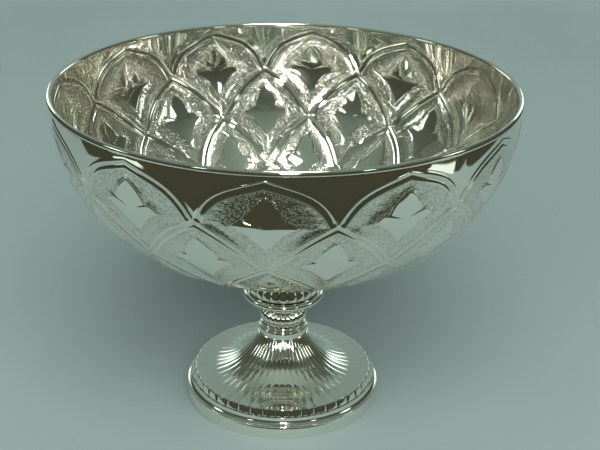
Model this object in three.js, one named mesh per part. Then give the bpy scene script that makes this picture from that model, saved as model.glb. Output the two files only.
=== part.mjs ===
// Silver-plated pedestal punch bowl, built as the stack of pieces it is assembled from.
// Millimetres, +Z up. Origin: the centre of the circle that the foot stands on.
// Every piece is a turned ring or shell on the Z axis, except the nut and the split washer.

import * as THREE from "three";

// ---- Driving dimensions ------------------------------------------------------------------

const TOTAL_HEIGHT = 300; // floor to the top of the rim bead
const MOUTH_RADIUS = 200; // outside of the rim bead
const FOOT_RADIUS = 90; // widest part of the foot band
const FIT_GAP = 0.3; // clearance between pieces that rest on each other

const RIM_BEAD_RADIUS = 2.4;
const BOWL_WALL = 1.3;
const BOWL_RADIUS = MOUTH_RADIUS - 1; // outside of the sheet at the mouth
const BOWL_MOUTH_Z = TOTAL_HEIGHT - RIM_BEAD_RADIUS; // level that the bowl's curve starts from
const BOWL_DEPTH = 158;
const BOWL_RADIAL_POWER = 2.33; // the bowl's section is a superellipse: round sides,
const BOWL_DEPTH_POWER = 2.195; // and a slightly flattened bottom

const GASKET_INNER_RADIUS = 28;
const GASKET_OUTER_RADIUS = 44;
const GASKET_THICKNESS = 0.8;

const CUP_BOTTOM_Z = 104.5;
const CUP_RADIUS = 31;
const CUP_LIP_RADIUS = 50;
const CUP_WALL = 1.6;
const CUP_LEDGE_RADIUS = 26; // inner edge of the ledge that the gasket lies on
const CUP_SEAT_RADIUS = 45; // outer edge of that ledge
const CUP_LOBES = 24;
const CUP_LOBE_DEPTH = 0.8;

const FLANGE_RADIUS = 36.7;
const FLANGE_EDGE_RADIUS = 3;
const FLANGE_BOTTOM_Z = 97.8;

const KNOP_BOTTOM_Z = 73.5;
const KNOP_TOP_Z = 97.5;
const KNOP_RADIUS = 21.6;
const KNOP_FLUTES = 24;
const KNOP_FLUTE_DEPTH = 0.5;
const NECK_RADIUS = 14.5;

const KNOP_RING_BOTTOM_Z = 69.8;
const KNOP_RING_RADIUS = 20.9;
const COLLAR_BOTTOM_Z = 60.3;
const COLLAR_RADIUS = 23;

const FOOT_TOP_Z = 60;
const FOOT_THROAT_RADIUS = 20.5;
const FOOT_REEDED_RADIUS = 83; // where the reeded flare ends in a short wall
const FOOT_REEDED_EDGE_Z = 26;
const FOOT_WALL_BOTTOM_Z = 19.8;
const FOOT_FLARE_POWER = 3; // how quickly the trumpet flattens out
const FOOT_REEDS = 44;
const FOOT_REED_DEPTH = 0.6;
const FOOT_SHEET = 1.6;

const BAND_TOP_RADIUS = 84.2;
const BAND_TOP_Z = 19.4;
const BAND_RIDGE_RADIUS = 88.8;
const BAND_RIDGE_Z = 12.8;
const BAND_SHEET = 2;
const BAND_WALL = 2.4; // wall of the round base
const BAND_FLOOR = 1.2; // thickness of the turned-in lower edge
const BAND_INNER_RADIUS = FOOT_RADIUS - 5.5; // inside of that edge
const FOOT_WIRE_RADIUS = 1.6;

const ROD_RADIUS = 4;
const ROD_CLEARANCE = 0.5;
const ROD_BOTTOM_Z = 24;
const BOSS_RADIUS = 22;
const BOSS_HEIGHT = 8;
const BOSS_ROOF = 1; // metal left above the blind hole
const BUSH_RADIUS = 8.7;
const BUSH_TOP_Z = 72;
const PLATE_RADIUS = 25;
const PLATE_TOP_Z = 46.5;
const PLATE_THICKNESS = 2.5;
const WASHER_RADIUS = 9;
const WASHER_THICKNESS = 1.6;
const SPRING_WASHER_RADIUS = 7.4;
const SPRING_WASHER_THICKNESS = 2.2;
const NUT_ACROSS_FLATS = 13;
const NUT_THICKNESS = 6.5;

const BOWL_SEGMENTS = 48;
const LOBED_SEGMENTS = 48; // two per lobe or flute
const RING_SEGMENTS = 32;
const SMALL_SEGMENTS = 20;

// ---- Finishes ----------------------------------------------------------------------------

const silver = () => new THREE.MeshStandardMaterial({ color: 0xd9dbd4, roughness: 0.08, metalness: 1 });
const brass = () => new THREE.MeshStandardMaterial({ color: 0xb9975b, roughness: 0.35, metalness: 1 });
const steel = () => new THREE.MeshStandardMaterial({ color: 0x9a9a98, roughness: 0.3, metalness: 1 });
const fibre = () => new THREE.MeshStandardMaterial({ color: 0x6e3a2c, roughness: 0.8, metalness: 0 });

// ---- Shape helpers -----------------------------------------------------------------------

// Points on an arc of a section, as [radius, height] pairs. Angles are in degrees,
// 0 pointing away from the axis and 90 pointing up.
function arc(centreRadius, centreZ, size, fromDegrees, toDegrees, steps) {
  const points = [];
  for (let i = 0; i <= steps; i += 1) {
    const angle = THREE.MathUtils.degToRad(fromDegrees + ((toDegrees - fromDegrees) * i) / steps);
    points.push([centreRadius + size * Math.cos(angle), centreZ + size * Math.sin(angle)]);
  }
  return points;
}

// A solid of revolution. The section is a list of [radius, height] pairs that runs
// anticlockwise, seen with the axis on the left. It closes on itself, or starts and ends
// on the axis. `ripple` may move a point by its angle, for flutes, reeds and lobes.
function turned(name, material, section, segments, ripple = null) {
  const points = section.map(([radius, height]) => new THREE.Vector2(radius, height));
  const onAxis = section[0][0] === 0;
  if (!onAxis) {
    points.push(points[0].clone());
  }
  const geometry = new THREE.LatheGeometry(points, segments);
  geometry.rotateX(Math.PI / 2);
  if (ripple) {
    const position = geometry.attributes.position;
    const vertex = new THREE.Vector3();
    for (let i = 0; i < position.count; i += 1) {
      vertex.fromBufferAttribute(position, i);
      ripple(vertex, Math.atan2(vertex.y, vertex.x));
      position.setXYZ(i, vertex.x, vertex.y, vertex.z);
    }
    geometry.computeVertexNormals();
  }
  const mesh = new THREE.Mesh(geometry, material);
  mesh.name = name;
  return mesh;
}

// A plain ring with square edges.
function flatRing(name, material, innerRadius, outerRadius, bottomZ, topZ, segments) {
  const section = [
    [innerRadius, bottomZ],
    [outerRadius, bottomZ],
    [outerRadius, topZ],
    [innerRadius, topZ],
  ];
  return turned(name, material, section, segments);
}

// A flat outline raised by a thickness, standing on bottomZ.
function raised(name, material, outline, thickness, bottomZ) {
  const geometry = new THREE.ExtrudeGeometry(outline, {
    depth: thickness,
    bevelEnabled: false,
    curveSegments: SMALL_SEGMENTS / 2,
  });
  const mesh = new THREE.Mesh(geometry, material);
  mesh.name = name;
  mesh.position.z = bottomZ;
  return mesh;
}

// Moves a vertex along its own radius.
function pushOut(vertex, amount) {
  const radius = Math.hypot(vertex.x, vertex.y);
  vertex.x *= (radius + amount) / radius;
  vertex.y *= (radius + amount) / radius;
}

// Height of the bowl's outer surface at a radius: the lower half of a superellipse.
function bowlUnderside(radius) {
  const across = Math.pow(radius / BOWL_RADIUS, BOWL_RADIAL_POWER);
  return BOWL_MOUTH_Z - BOWL_DEPTH * Math.pow(1 - across, 1 / BOWL_DEPTH_POWER);
}

// The bowl's section from the axis up to a height under the mouth, `inset` inside the sheet.
function bowlCurve(inset, topZ, steps) {
  const radius = BOWL_RADIUS - inset;
  const depth = BOWL_DEPTH - inset;
  const topSine = Math.pow((BOWL_MOUTH_Z - topZ) / depth, BOWL_DEPTH_POWER / 2);
  const topAngle = Math.asin(topSine);
  const points = [];
  for (let i = 0; i <= steps; i += 1) {
    const angle = Math.PI / 2 + ((topAngle - Math.PI / 2) * i) / steps;
    const across = i === 0 ? 0 : radius * Math.pow(Math.cos(angle), 2 / BOWL_RADIAL_POWER);
    points.push([across, BOWL_MOUTH_Z - depth * Math.pow(Math.sin(angle), 2 / BOWL_DEPTH_POWER)]);
  }
  return points;
}

// Height of the foot's reeded flare at a radius.
function footFlare(radius) {
  const outward = (FOOT_REEDED_RADIUS - radius) / (FOOT_REEDED_RADIUS - FOOT_THROAT_RADIUS);
  const rise = FOOT_TOP_Z - FOOT_REEDED_EDGE_Z;
  return FOOT_REEDED_EDGE_Z + rise * Math.pow(Math.max(outward, 0), FOOT_FLARE_POWER);
}

// ---- The bowl ----------------------------------------------------------------------------

function bowlShell() {
  const topZ = BOWL_MOUTH_Z - RIM_BEAD_RADIUS - FIT_GAP;
  const outside = bowlCurve(0, topZ, 11);
  const inside = bowlCurve(BOWL_WALL, topZ, 11);
  return turned("bowl_shell", silver(), [...outside, ...inside.reverse()], BOWL_SEGMENTS);
}

// A round bead with a flat underside, soldered on the edge of the sheet.
function rimBead() {
  const centreRadius = MOUTH_RADIUS - RIM_BEAD_RADIUS;
  const centreZ = TOTAL_HEIGHT - RIM_BEAD_RADIUS;
  const round = arc(centreRadius, centreZ, RIM_BEAD_RADIUS, -60, 240, 10);
  return turned("rim_bead", silver(), round, BOWL_SEGMENTS);
}

// A thick disc soldered under the middle of the bowl, with a blind hole for the rod.
function bowlBoss() {
  const topZ = bowlUnderside(0) - FIT_GAP;
  const bottomZ = topZ - BOSS_HEIGHT;
  const holeRadius = ROD_RADIUS + FIT_GAP;
  const section = [
    [0, topZ - BOSS_ROOF],
    [holeRadius, topZ - BOSS_ROOF],
    [holeRadius, bottomZ],
    [BOSS_RADIUS, bottomZ],
    [BOSS_RADIUS, topZ],
    [0, topZ],
  ];
  return turned("bowl_boss", brass(), section, SMALL_SEGMENTS);
}

// A thin washer that follows the bowl's curve, between the bowl and its cup.
function bowlGasket() {
  const radii = [GASKET_INNER_RADIUS, (GASKET_INNER_RADIUS + GASKET_OUTER_RADIUS) / 2, GASKET_OUTER_RADIUS];
  const above = radii.map((radius) => [radius, bowlUnderside(radius) - FIT_GAP]);
  const below = above.map(([radius, height]) => [radius, height - GASKET_THICKNESS]);
  return turned("bowl_gasket", fibre(), [...below, ...above.reverse()], RING_SEGMENTS);
}

// ---- The stem ----------------------------------------------------------------------------

// The lobed cup under the bowl: a steep wall that flares out into a lip, with a flat web
// below and a turned-in ledge above that the gasket lies on.
function seatCup() {
  const ledgeDrop = FIT_GAP + GASKET_THICKNESS + FIT_GAP;
  const ledge = (radius) => bowlUnderside(radius) - ledgeDrop;
  const lipTop = bowlUnderside(CUP_LIP_RADIUS) - FIT_GAP;
  const section = [
    [ROD_RADIUS + ROD_CLEARANCE, CUP_BOTTOM_Z],
    [CUP_RADIUS - 1, CUP_BOTTOM_Z],
    [CUP_RADIUS, CUP_BOTTOM_Z + 2.5],
    [CUP_RADIUS + 0.6, CUP_BOTTOM_Z + 9],
    [CUP_RADIUS + 0.4, CUP_BOTTOM_Z + 16],
    [CUP_RADIUS + 2.4, CUP_BOTTOM_Z + 23],
    [CUP_RADIUS + 7.6, CUP_BOTTOM_Z + 29.5],
    [CUP_RADIUS + 14.6, CUP_BOTTOM_Z + 34],
    [CUP_LIP_RADIUS, lipTop - 1.6],
    [CUP_LIP_RADIUS, lipTop],
    [CUP_SEAT_RADIUS, bowlUnderside(CUP_SEAT_RADIUS) - FIT_GAP],
    [CUP_SEAT_RADIUS, ledge(CUP_SEAT_RADIUS)],
    [CUP_LEDGE_RADIUS, ledge(CUP_LEDGE_RADIUS)],
    [CUP_LEDGE_RADIUS, ledge(CUP_LEDGE_RADIUS) - CUP_WALL],
    [CUP_LEDGE_RADIUS + 12, ledge(CUP_LEDGE_RADIUS) - CUP_WALL - 1.6],
    [CUP_RADIUS + 0.8, CUP_BOTTOM_Z + 23.5],
    [CUP_RADIUS - 1.4, CUP_BOTTOM_Z + 16],
    [CUP_RADIUS - 1.4, CUP_BOTTOM_Z + CUP_WALL],
    [ROD_RADIUS + ROD_CLEARANCE, CUP_BOTTOM_Z + CUP_WALL],
  ];
  const lobes = (vertex, angle) => {
    const radius = Math.hypot(vertex.x, vertex.y);
    const above = vertex.z - CUP_BOTTOM_Z;
    const onWall = radius > CUP_RADIUS - 0.5 && above > 1 && above < 30;
    if (onWall) {
      pushOut(vertex, -CUP_LOBE_DEPTH * 0.5 * (1 - Math.cos(CUP_LOBES * angle)));
    }
  };
  return turned("seat_cup", silver(), section, LOBED_SEGMENTS, lobes);
}

// A disc with a half-round edge.
function stemFlange() {
  const edgeCentre = FLANGE_RADIUS - FLANGE_EDGE_RADIUS;
  const topZ = CUP_BOTTOM_Z - FIT_GAP;
  const section = [
    [ROD_RADIUS + ROD_CLEARANCE, FLANGE_BOTTOM_Z],
    [NECK_RADIUS + 1.5, FLANGE_BOTTOM_Z],
    [NECK_RADIUS + 6, FLANGE_BOTTOM_Z + 0.9],
    ...arc(edgeCentre, topZ - FLANGE_EDGE_RADIUS, FLANGE_EDGE_RADIUS, -80, 90, 6),
    [ROD_RADIUS + ROD_CLEARANCE, topZ],
  ];
  return turned("stem_flange", silver(), section, RING_SEGMENTS);
}

// The hollow knop: a narrow neck, a small fillet ring and a fluted barrel that widens downward.
function stemKnop() {
  const section = [
    [16.5, KNOP_BOTTOM_Z],
    [19.8, KNOP_BOTTOM_Z],
    [20.1, KNOP_BOTTOM_Z + 1.6],
    [21.2, KNOP_BOTTOM_Z + 3.2],
    [KNOP_RADIUS, KNOP_BOTTOM_Z + 5.8],
    [20.6, KNOP_BOTTOM_Z + 9.2],
    [18.4, KNOP_BOTTOM_Z + 12],
    [16.2, KNOP_BOTTOM_Z + 13.8],
    [16.9, KNOP_BOTTOM_Z + 14.6],
    [16.9, KNOP_BOTTOM_Z + 15.6],
    [NECK_RADIUS, KNOP_BOTTOM_Z + 16.8],
    [NECK_RADIUS - 0.3, KNOP_BOTTOM_Z + 20],
    [NECK_RADIUS + 0.6, KNOP_TOP_Z],
    [ROD_RADIUS + ROD_CLEARANCE, KNOP_TOP_Z],
    [ROD_RADIUS + ROD_CLEARANCE, KNOP_TOP_Z - 2.5],
    [11.5, KNOP_TOP_Z - 2.5],
    [12, KNOP_BOTTOM_Z + 15],
    [17.8, KNOP_BOTTOM_Z + 6],
  ];
  const flutes = (vertex, angle) => {
    const radius = Math.hypot(vertex.x, vertex.y);
    const above = vertex.z - KNOP_BOTTOM_Z;
    const onBarrel = radius > 18.3 && above > 2 && above < 13;
    if (onBarrel) {
      pushOut(vertex, -KNOP_FLUTE_DEPTH * (1 - Math.cos(KNOP_FLUTES * angle)));
    }
  };
  return turned("stem_knop", silver(), section, LOBED_SEGMENTS, flutes);
}

function knopRing() {
  const height = KNOP_BOTTOM_Z - FIT_GAP - KNOP_RING_BOTTOM_Z;
  const half = height / 2;
  const bore = BUSH_RADIUS + FIT_GAP;
  const section = [
    [bore, KNOP_RING_BOTTOM_Z],
    ...arc(KNOP_RING_RADIUS - half, KNOP_RING_BOTTOM_Z + half, half, -90, 90, 6),
    [bore, KNOP_RING_BOTTOM_Z + height],
  ];
  return turned("knop_ring", silver(), section, RING_SEGMENTS);
}

function footCollar() {
  const bore = BUSH_RADIUS + FIT_GAP;
  const topZ = KNOP_RING_BOTTOM_Z - FIT_GAP;
  const section = [
    [bore, COLLAR_BOTTOM_Z],
    [COLLAR_RADIUS - 1.4, COLLAR_BOTTOM_Z],
    [COLLAR_RADIUS, COLLAR_BOTTOM_Z + 1.6],
    [COLLAR_RADIUS - 0.7, COLLAR_BOTTOM_Z + 5],
    [COLLAR_RADIUS - 0.2, topZ - 1.8],
    [COLLAR_RADIUS - 1.6, topZ],
    [bore, topZ],
  ];
  return turned("foot_collar", silver(), section, RING_SEGMENTS);
}

// ---- The foot ----------------------------------------------------------------------------

// A trumpet with rounded reeds running down it, ending in a short steep wall.
function footShell() {
  const bore = BUSH_RADIUS + FIT_GAP;
  const flareRadii = [24, 30, 39, 52, 68];
  const outside = [];
  const inside = [];
  for (const radius of flareRadii) {
    outside.push([radius, footFlare(radius)]);
  }
  for (const radius of flareRadii) {
    const slope = footFlare(radius + 0.5) - footFlare(radius - 0.5);
    const length = Math.hypot(1, slope);
    inside.push([radius + (slope * FOOT_SHEET) / length, footFlare(radius) - FOOT_SHEET / length]);
  }
  const section = [
    [bore, FOOT_TOP_Z - FOOT_SHEET],
    [FOOT_THROAT_RADIUS - 1.8, FOOT_TOP_Z - FOOT_SHEET],
    ...inside,
    [FOOT_REEDED_RADIUS - 1.4, FOOT_REEDED_EDGE_Z - FOOT_SHEET],
    [FOOT_REEDED_RADIUS - 1.2, FOOT_WALL_BOTTOM_Z],
    [FOOT_REEDED_RADIUS + 0.8, FOOT_WALL_BOTTOM_Z],
    [FOOT_REEDED_RADIUS + 0.6, FOOT_REEDED_EDGE_Z - 1],
    [FOOT_REEDED_RADIUS - 0.6, FOOT_REEDED_EDGE_Z + 0.3],
    ...outside.reverse(),
    [FOOT_THROAT_RADIUS, FOOT_TOP_Z],
    [bore, FOOT_TOP_Z],
  ];
  const reeds = (vertex, angle) => {
    const radius = Math.hypot(vertex.x, vertex.y);
    const depth = FOOT_REED_DEPTH * (1 - Math.cos(FOOT_REEDS * angle)) * 0.5;
    const onFlare = radius > 23 && radius < FOOT_REEDED_RADIUS && vertex.z > footFlare(radius) - 0.4;
    if (onFlare) {
      vertex.z -= depth * Math.min(radius / FOOT_REEDED_RADIUS + 0.3, 1);
    }
  };
  return turned("foot_shell", silver(), section, FOOT_REEDS * 2, reeds);
}

// The stepped ring that the foot stands on: a hollow curve down to a ridge, then a round base.
function footBand() {
  const section = [
    [BAND_INNER_RADIUS, 0],
    [FOOT_RADIUS - 1, 0],
    ...arc(FOOT_RADIUS - 3, 3.6, 3, -35, 0, 2),
    [FOOT_RADIUS - 0.3, 8],
    [BAND_RIDGE_RADIUS - 0.6, BAND_RIDGE_Z - 1.6],
    [BAND_RIDGE_RADIUS, BAND_RIDGE_Z - 0.6],
    [BAND_RIDGE_RADIUS - 0.6, BAND_RIDGE_Z + 0.2],
    [BAND_TOP_RADIUS + 1.8, BAND_TOP_Z - 4.2],
    [BAND_TOP_RADIUS + 0.4, BAND_TOP_Z],
    [BAND_TOP_RADIUS - 4, BAND_TOP_Z],
    [BAND_TOP_RADIUS - 4, BAND_TOP_Z - BAND_SHEET],
    [BAND_TOP_RADIUS - 1, BAND_TOP_Z - BAND_SHEET],
    [BAND_RIDGE_RADIUS - 3.2, BAND_RIDGE_Z - 2],
    [FOOT_RADIUS - BAND_WALL, 6],
    [FOOT_RADIUS - BAND_WALL, BAND_FLOOR],
    [BAND_INNER_RADIUS, BAND_FLOOR],
  ];
  return turned("foot_band", silver(), section, BOWL_SEGMENTS);
}

// The wire lies in the turned lower edge of the band.
function footWire() {
  const centreRadius = FOOT_RADIUS - BAND_WALL - FIT_GAP - FOOT_WIRE_RADIUS;
  const centreZ = BAND_FLOOR + FIT_GAP + FOOT_WIRE_RADIUS;
  const round = arc(centreRadius, centreZ, FOOT_WIRE_RADIUS, 0, 300, 5);
  return turned("foot_wire", steel(), round, BOWL_SEGMENTS);
}

// ---- The fastening -----------------------------------------------------------------------

function tieRod() {
  const topZ = bowlUnderside(0) - FIT_GAP - BOSS_ROOF - FIT_GAP;
  const chamfer = 0.8;
  const section = [
    [0, ROD_BOTTOM_Z],
    [ROD_RADIUS - chamfer, ROD_BOTTOM_Z],
    [ROD_RADIUS, ROD_BOTTOM_Z + chamfer],
    [ROD_RADIUS, topZ - chamfer],
    [ROD_RADIUS - chamfer, topZ],
    [0, topZ],
  ];
  return turned("tie_rod", steel(), section, SMALL_SEGMENTS);
}

function rodBush() {
  const bore = ROD_RADIUS + FIT_GAP;
  const bottomZ = PLATE_TOP_Z + FIT_GAP;
  return flatRing("rod_bush", brass(), bore, BUSH_RADIUS, bottomZ, BUSH_TOP_Z, SMALL_SEGMENTS);
}

// A plate that spreads the nut's pull over the inside of the trumpet's throat.
function clampPlate() {
  const bore = ROD_RADIUS + FIT_GAP;
  const bottomZ = PLATE_TOP_Z - PLATE_THICKNESS;
  const section = [
    [bore, bottomZ],
    [PLATE_RADIUS - 1, bottomZ],
    [PLATE_RADIUS, bottomZ + 1],
    [PLATE_RADIUS - 1, PLATE_TOP_Z],
    [bore, PLATE_TOP_Z],
  ];
  return turned("clamp_plate", brass(), section, RING_SEGMENTS);
}

function fasteners() {
  const bore = ROD_RADIUS + FIT_GAP;
  const washerTop = PLATE_TOP_Z - PLATE_THICKNESS - FIT_GAP;
  const washerBottom = washerTop - WASHER_THICKNESS;
  const springBottom = washerBottom - FIT_GAP - SPRING_WASHER_THICKNESS;
  const nutBottom = springBottom - FIT_GAP - NUT_THICKNESS;
  const flat = flatRing(
    "flat_washer", steel(), bore, WASHER_RADIUS, washerBottom, washerTop, SMALL_SEGMENTS,
  );

  const split = new THREE.Shape();
  const halfGap = 0.14; // half of the split, in radians
  split.absarc(0, 0, SPRING_WASHER_RADIUS, halfGap, Math.PI * 2 - halfGap, false);
  split.absarc(0, 0, bore, Math.PI * 2 - halfGap, halfGap, true);
  split.closePath();
  const spring = raised("spring_washer", steel(), split, SPRING_WASHER_THICKNESS, springBottom);

  const hexagon = new THREE.Shape();
  const cornerRadius = NUT_ACROSS_FLATS / Math.sqrt(3);
  for (let corner = 0; corner < 6; corner += 1) {
    const angle = (corner * Math.PI) / 3;
    const point = [cornerRadius * Math.cos(angle), cornerRadius * Math.sin(angle)];
    if (corner === 0) {
      hexagon.moveTo(...point);
    } else {
      hexagon.lineTo(...point);
    }
  }
  hexagon.closePath();
  const threadedHole = new THREE.Path();
  threadedHole.absarc(0, 0, bore, 0, Math.PI * 2, true);
  hexagon.holes.push(threadedHole);
  const nut = raised("hex_nut", steel(), hexagon, NUT_THICKNESS, nutBottom);
  return [flat, spring, nut];
}

// ---- Assembly ----------------------------------------------------------------------------

const bowl = new THREE.Group();
bowl.add(bowlShell(), rimBead(), bowlBoss(), bowlGasket());

const stem = new THREE.Group();
stem.add(seatCup(), stemFlange(), stemKnop(), knopRing());

const foot = new THREE.Group();
foot.add(footCollar(), footShell(), footBand(), footWire());

const fastening = new THREE.Group();
fastening.add(tieRod(), rodBush(), clampPlate(), ...fasteners());

const punchBowl = new THREE.Group();
punchBowl.add(bowl, stem, foot, fastening);

export default punchBowl;
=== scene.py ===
"""Looks of a silver-plated pedestal punch bowl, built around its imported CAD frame.

Lengths in the shape code are millimetres in the frame's own axes, and become metres when a
mesh is made. The bowl's sheet is chased with four rows of pointed arches, and each arch
holds a star. The chasing is real relief on both sides of the sheet.
"""

import math

import bmesh
import bpy
import numpy as np
from mathutils import Matrix, Vector, noise


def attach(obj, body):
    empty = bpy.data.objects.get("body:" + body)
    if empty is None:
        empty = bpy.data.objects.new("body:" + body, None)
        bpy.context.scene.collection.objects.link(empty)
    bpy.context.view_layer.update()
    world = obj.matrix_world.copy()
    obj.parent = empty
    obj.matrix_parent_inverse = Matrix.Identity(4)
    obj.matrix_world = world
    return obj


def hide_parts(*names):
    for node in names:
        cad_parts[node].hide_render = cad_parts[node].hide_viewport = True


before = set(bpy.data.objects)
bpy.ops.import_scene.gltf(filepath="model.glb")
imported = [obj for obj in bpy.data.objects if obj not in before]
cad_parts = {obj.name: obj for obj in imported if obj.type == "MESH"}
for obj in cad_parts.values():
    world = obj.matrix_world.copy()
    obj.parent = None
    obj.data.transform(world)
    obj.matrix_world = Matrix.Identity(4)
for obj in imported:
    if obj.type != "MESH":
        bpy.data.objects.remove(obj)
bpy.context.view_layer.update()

# ---- Driving dimensions, in millimetres --------------------------------------------------

MOUTH_RADIUS = 200.0
MOUTH_Z = 297.6  # level that the bowl's curve starts from
BEAD_RADIUS = 2.4
BOWL_RADIUS = 199.0
BOWL_DEPTH = 158.0
BOWL_RADIAL_POWER = 2.33
BOWL_DEPTH_POWER = 2.195
BOWL_WALL = 1.3
SHEET_TOP_Z = 295.35

ARCHES = 12  # arches in a row
FIRST_ARCH = math.radians(-5.97)  # from the front, positive to the right
ROW_HEIGHTS = (292.4, 255.0, 212.3, 176.0, 151.0)  # arch tips, and last the closing ring
BAND_WIDTHS = (6.0, 5.8, 5.2, 4.4)  # outer line to second line, row by row
LIMB_SHAPES = ((0.44, 5.0), (0.58, 2.2), (0.6, 2.1), (0.6, 2.0))  # straight share, power
BAND_LEVELS = (0.0, 0.1, 0.2, 0.55, 0.77, 0.885, 1.0)
BAND_STEPS = len(BAND_LEVELS) - 1
LIMB_STEPS = 12
LINE_CREST = 0.55
SECOND_CREST = 0.42
STAR_CREST = 0.42
GROUND = -0.14

CUP_BASE_Z = 104.5
KNOP_BASE_Z = 73.5
LOBES = 24  # round the cup and the knop
REEDS = 44  # round the foot
FOOT_LEVEL_Z = 26.0  # where the foot's flare runs out level
FOOT_FLARE_RISE = 34.0
GASKET_NEAR, GASKET_FAR = 0.35, 1.1  # its two faces, below the bowl

# ---- Mesh helpers ------------------------------------------------------------------------


def make_piece(name, points, faces, material, replaced, layers=None):
    """A mesh object in the frame that stands for the CAD nodes in `replaced`."""
    mesh = bpy.data.meshes.new(name)
    mesh.from_pydata((np.asarray(points) / 1000.0).tolist(), [], faces)
    for layer, values in (layers or {}).items():
        attribute = mesh.attributes.new(layer, "FLOAT", "POINT")
        attribute.data.foreach_set("value", np.asarray(values, np.float32))
    mesh.polygons.foreach_set("use_smooth", [True] * len(mesh.polygons))
    mesh.update()
    piece = bpy.data.objects.new(name, mesh)
    bpy.context.scene.collection.objects.link(piece)
    mesh.materials.append(material)
    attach(piece, "root")
    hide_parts(*replaced)
    return piece


def arc(centre_radius, centre_z, size, start, end, steps):
    """Points on an arc of a section. 0 degrees points away from the axis, 90 up."""
    angles = np.radians(np.linspace(start, end, steps + 1))
    return [(centre_radius + size * math.cos(a), centre_z + size * math.sin(a)) for a in angles]


def through(points, steps):
    """A smooth curve through the points, with `steps` pieces between each pair."""
    p = np.array(points, float)
    padded = np.vstack([2 * p[0] - p[1], p, 2 * p[-1] - p[-2]])
    out = [p[0]]
    for i in range(1, len(padded) - 2):
        a, b, c, d = padded[i - 1 : i + 3]
        for k in range(1, steps + 1):
            t = k / steps
            out.append(
                0.5 * (2 * b + (c - a) * t + (2 * a - 5 * b + 4 * c - d) * t**2
                       + (3 * b - a - 3 * c + d) * t**3)
            )
    return [tuple(v) for v in out]


def resample(points, shares):
    """Points at the given shares of a polyline's length."""
    p = np.array(points, float)
    lengths = np.concatenate([[0], np.cumsum(np.linalg.norm(np.diff(p, axis=0), axis=1))])
    at = np.asarray(shares) * lengths[-1]
    return np.stack([np.interp(at, lengths, p[:, 0]), np.interp(at, lengths, p[:, 1])], 1)


def lathe(name, section, segments, material, replaced, ripple=None, sharp=35.0):
    """A closed section turned about the axis. It runs anticlockwise, with the axis on the
    left. `ripple(radius, height, angle)` returns how far each point sinks into the piece."""
    section = np.array(section, float)
    count = len(section)
    angles = np.arange(segments) * 2 * math.pi / segments
    radius = section[:, :1] + 0 * angles
    height = section[:, 1:] + 0 * angles
    sink = np.zeros_like(radius)
    if ripple:
        before = np.roll(section, 1, axis=0)
        after = np.roll(section, -1, axis=0)
        along = after - before
        along /= np.maximum(np.linalg.norm(along, axis=1, keepdims=True), 1e-9)
        sink = ripple(radius, height, angles[None, :] + 0 * radius)
        radius = radius - along[:, 1:] * sink
        height = height + along[:, :1] * sink
    points = np.stack([radius * np.cos(angles), radius * np.sin(angles), height], -1)
    faces = []
    on_axis = section[0][0] < 1e-6
    for i in range(count - 1 if on_axis else count):
        j = (i + 1) % count
        for k in range(segments):
            n = (k + 1) % segments
            quad = (i * segments + k, i * segments + n, j * segments + n, j * segments + k)
            faces.append(quad)
    deepest = max(float(sink.max()), 1e-6)
    layers = {"recess": (sink / deepest).ravel() if ripple else np.zeros(points.shape[0] * segments)}
    piece = make_piece(name, points.reshape(-1, 3), faces, material, replaced, layers)
    if on_axis:
        weld(piece.data)
    piece.data.set_sharp_from_angle(angle=math.radians(sharp))
    return piece


def weld(mesh):
    """Joins vertices that lie on each other and drops faces that have no area."""
    work = bmesh.new()
    work.from_mesh(mesh)
    bmesh.ops.remove_doubles(work, verts=work.verts, dist=1e-6)
    work.to_mesh(mesh)
    work.free()
    mesh.update()


# ---- Materials ---------------------------------------------------------------------------

SILVER_CLEAR = (0.93, 0.915, 0.835, 1)
SILVER_CLOUDED = (0.905, 0.89, 0.81, 1)
TARNISH = (0.46, 0.43, 0.33, 1)
PUNCH_MARKS_PER_METRE = 780.0
# the cloth's two tones: the colour moves between them with its folds, as painted shade in the
# hollows and painted light on the crests
CLOTH_DARK = (0.245, 0.310, 0.305, 1)
CLOTH_LIGHT = (0.275, 0.342, 0.333, 1)


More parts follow.
